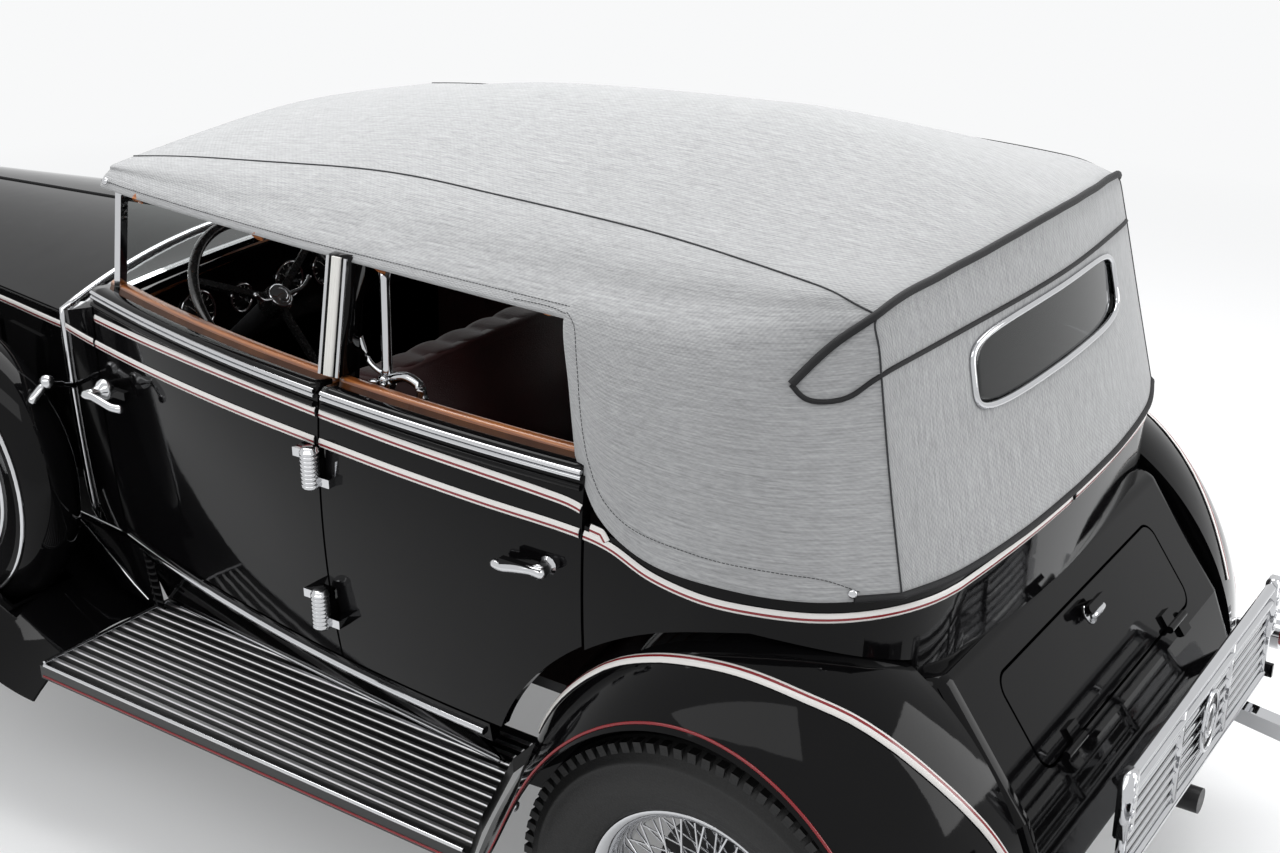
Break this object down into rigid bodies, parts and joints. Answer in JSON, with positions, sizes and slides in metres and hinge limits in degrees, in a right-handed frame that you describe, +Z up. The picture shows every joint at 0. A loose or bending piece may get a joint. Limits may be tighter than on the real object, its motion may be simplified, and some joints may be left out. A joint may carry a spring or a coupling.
{
  "type": "vintage phaeton car",
  "caption": "Black early-1930s four-door convertible phaeton with grey canvas top up, wire wheels, side-mounted spares, running boards and folding luggage rack.",
  "frame": {"origin": "on the floor, below the middle of the box between the two bumpers", "axes": "+X forward, +Y to the car's left, +Z up"},
  "size_m": [5.0176, 1.81, 1.7031],
  "materials": {
    "canvas": "matte",
    "black_paint": "gloss",
    "chassis_black": "satin",
    "engine_grey": "matte",
    "chrome": "polished",
    "glass": "polished",
    "tyre_black": "matte",
    "leather": "satin",
    "tread_metal": "polished",
    "wheel_black": "gloss"
  },
  "bodies": {
    "body": {"canvas_top": "canvas", "chassis_frame": "chassis_black", "cowl": "black_paint", "dashboard": "black_paint", "door_posts": "black_paint", "engine": "engine_grey", "exhaust": "chassis_black", "floor_pan": "chassis_black", "front_axle": "chassis_black", "front_bumper": "chrome", "front_fender_left": "black_paint", "front_fender_right": "black_paint", "front_seat": "leather", "fuel_tank": "chassis_black", "hood_side_left": "black_paint", "hood_side_right": "black_paint", "headlamp_lenses": "glass", "headlamps": "chrome", "plate_bracket": "chrome", "radiator_grille": "chrome", "radiator_shell": "chrome", "rear_axle": "chassis_black", "rear_body": "black_paint", "rear_bumper": "chrome", "rear_fender_left": "black_paint", "rear_fender_right": "black_paint", "rear_seat": "leather", "rear_window": "glass", "running_boards": "tread_metal", "sills": "black_paint", "spare_wheels": "black_paint", "splash_aprons": "black_paint", "springs": "chassis_black", "steering_column": "chassis_black", "tail_lamps": "chrome", "window_posts": "chrome", "windshield_frame": "chrome", "windshield_glass": "glass"},
    "knuckle_left": {"knuckle_left": "chassis_black"},
    "wheel_front_left": {"wheel_front_left": "chrome", "tyre_front_left": "tyre_black"},
    "wheel_rear_left": {"wheel_rear_left": "chrome", "tyre_rear_left": "tyre_black"},
    "door_front_left": {"door_front_left": "black_paint"},
    "door_rear_left": {"door_rear_left": "black_paint"},
    "hood_top_left": {"hood_top_left": "black_paint"},
    "knuckle_right": {"knuckle_right": "chassis_black"},
    "wheel_front_right": {"wheel_front_right": "chrome", "tyre_front_right": "tyre_black"},
    "wheel_rear_right": {"wheel_rear_right": "chrome", "tyre_rear_right": "tyre_black"},
    "door_front_right": {"door_front_right": "black_paint"},
    "door_rear_right": {"door_rear_right": "black_paint"},
    "hood_top_right": {"hood_top_right": "black_paint"},
    "tie_rod": {"tie_rod": "chassis_black"},
    "steering_wheel": {"steering_wheel": "wheel_black"},
    "trunk_lid": {"trunk_lid": "black_paint"},
    "luggage_rack": {"luggage_rack": "chrome"}
  },
  "joints": [
    {"name": "steer_left", "type": "hinge", "parent": "body", "child": "knuckle_left", "pos_m": [1.769, 0.64, 0.385], "axis": [0, 0, 1], "range_deg": [-26, 26]},
    {"name": "spin_front_left", "type": "hinge", "parent": "knuckle_left", "child": "wheel_front_left", "pos_m": [1.769, 0.737, 0.385], "axis": [0, 1, 0], "continuous": true},
    {"name": "spin_rear_left", "type": "hinge", "parent": "body", "child": "wheel_rear_left", "pos_m": [-1.609, 0.737, 0.385], "axis": [0, 1, 0], "continuous": true},
    {"name": "open_door_front_left", "type": "hinge", "parent": "body", "child": "door_front_left", "pos_m": [-0.724, 0.8, 0.92], "axis": [0, 0, 1], "range_deg": [0, 65]},
    {"name": "open_door_rear_left", "type": "hinge", "parent": "body", "child": "door_rear_left", "pos_m": [-0.724, 0.8, 0.92], "axis": [0, 0, -1], "range_deg": [0, 65]},
    {"name": "lift_hood_top_left", "type": "hinge", "parent": "body", "child": "hood_top_left", "pos_m": [0.311, 0, 1.232], "axis": [0.9995, 0, -0.0317], "range_deg": [0, 50]},
    {"name": "steer_right", "type": "hinge", "parent": "body", "child": "knuckle_right", "pos_m": [1.769, -0.64, 0.385], "axis": [0, 0, 1], "range_deg": [-26, 26]},
    {"name": "spin_front_right", "type": "hinge", "parent": "knuckle_right", "child": "wheel_front_right", "pos_m": [1.769, -0.737, 0.385], "axis": [0, 1, 0], "continuous": true},
    {"name": "spin_rear_right", "type": "hinge", "parent": "body", "child": "wheel_rear_right", "pos_m": [-1.609, -0.737, 0.385], "axis": [0, 1, 0], "continuous": true},
    {"name": "open_door_front_right", "type": "hinge", "parent": "body", "child": "door_front_right", "pos_m": [-0.724, -0.8, 0.92], "axis": [0, 0, -1], "range_deg": [0, 65]},
    {"name": "open_door_rear_right", "type": "hinge", "parent": "body", "child": "door_rear_right", "pos_m": [-0.724, -0.8, 0.92], "axis": [0, 0, 1], "range_deg": [0, 65]},
    {"name": "lift_hood_top_right", "type": "hinge", "parent": "body", "child": "hood_top_right", "pos_m": [0.311, 0, 1.232], "axis": [-0.9995, 0, 0.0317], "range_deg": [0, 50]},
    {"name": "tie_rod_pivot", "type": "hinge", "parent": "knuckle_left", "child": "tie_rod", "pos_m": [1.589, 0.64, 0.338], "axis": [0, 0, 1], "range_deg": [-26, 26]},
    {"name": "steering_wheel_turn", "type": "hinge", "parent": "body", "child": "steering_wheel", "pos_m": [-0.192, 0.35, 1.197], "axis": [-0.766, 0, 0.6428], "range_deg": [-468, 468]},
    {"name": "open_trunk_lid", "type": "hinge", "parent": "body", "child": "trunk_lid", "pos_m": [-2.1018, 0, 0.6772], "axis": [0, -1, 0], "range_deg": [0, 50]},
    {"name": "fold_luggage_rack", "type": "hinge", "parent": "body", "child": "luggage_rack", "pos_m": [-2.249, 0, 0.532], "axis": [0, -1, 0], "range_deg": [0, 88]}
  ],
  "couplings": [
    {"joint": "steer_right", "follows": "steer_left", "ratio": 1},
    {"joint": "tie_rod_pivot", "follows": "steer_left", "ratio": -1},
    {"joint": "steering_wheel_turn", "follows": "steer_left", "ratio": 18}
  ]
}
